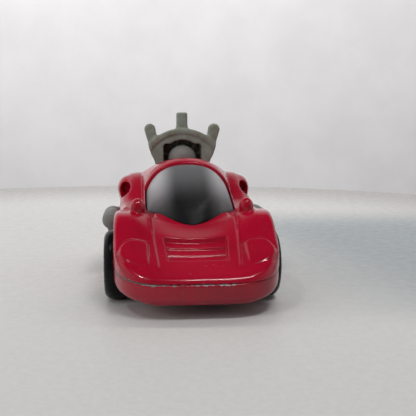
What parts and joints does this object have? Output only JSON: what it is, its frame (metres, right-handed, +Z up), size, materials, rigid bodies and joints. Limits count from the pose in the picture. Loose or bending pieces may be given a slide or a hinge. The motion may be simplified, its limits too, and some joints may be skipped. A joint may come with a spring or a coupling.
{
  "type": "pull back car",
  "caption": "Painted die-cast toy racing car with a smoked canopy, a rear turbine cowl and a spring motor that drives the rear axle.",
  "frame": {"origin": "on the ground under the middle of the car's length and width", "axes": "-Y towards the nose, +X to the side that is on the right in a view from the front, +Z up"},
  "size_m": [0.0358, 0.068, 0.0346],
  "materials": {
    "body_paint": "gloss enamel on a zinc casting, chipped at the edges",
    "base_paint": "worn enamel, dull and scuffed",
    "smoked_plastic": "smoked clear plastic, polished",
    "black_plastic": "fine moulded texture",
    "grey_plastic": "moulded, dusty",
    "hub_plastic": "moulded",
    "tyre": "smooth glossy rubber",
    "steel": "drawn pin",
    "motor_plastic": "moulded",
    "gear_plastic": "self-lubricating plastic",
    "spring_steel": "blued strip"
  },
  "bodies": {
    "chassis": {"body_shell": "body_paint", "base_pan": "base_paint", "canopy": "smoked_plastic", "interior_tub": "black_plastic", "turbine_cowl": "grey_plastic", "nose_cone": "grey_plastic", "side_pod_left": "grey_plastic", "side_pod_right": "grey_plastic", "motor_case_left": "motor_plastic", "motor_case_right": "motor_plastic", "idler_shaft": "steel", "barrel_shaft": "steel", "mainspring": "spring_steel", "motor_screws": "steel", "base_rivets": "steel"},
    "front_wheels": {"front_axle": "steel", "front_hub_left": "hub_plastic", "front_hub_right": "hub_plastic", "front_tyre_left": "tyre", "front_tyre_right": "tyre"},
    "rear_wheels": {"rear_axle": "steel", "rear_hub_left": "hub_plastic", "rear_hub_right": "hub_plastic", "rear_tyre_left": "tyre", "rear_tyre_right": "tyre", "axle_gear": "gear_plastic"},
    "idler": {"idler_gear": "gear_plastic"},
    "barrel": {"barrel_gear": "gear_plastic"}
  },
  "joints": [
    {"name": "front_axle_spin", "type": "hinge", "parent": "chassis", "child": "front_wheels", "pos_m": [0, -0.0165, 0.0065], "axis": [1, 0, 0], "continuous": true},
    {"name": "rear_axle_spin", "type": "hinge", "parent": "chassis", "child": "rear_wheels", "pos_m": [0, 0.0175, 0.0065], "axis": [1, 0, 0], "continuous": true},
    {"name": "idler_spin", "type": "hinge", "parent": "chassis", "child": "idler", "pos_m": [0, 0.01161, 0.00764], "axis": [1, 0, 0], "continuous": true},
    {"name": "barrel_spin", "type": "hinge", "parent": "chassis", "child": "barrel", "pos_m": [0, 0.00533, 0.00887], "axis": [1, 0, 0], "continuous": true}
  ],
  "couplings": [
    {"joint": "idler_spin", "follows": "rear_axle_spin", "ratio": -0.5},
    {"joint": "barrel_spin", "follows": "rear_axle_spin", "ratio": 0.22727}
  ]
}
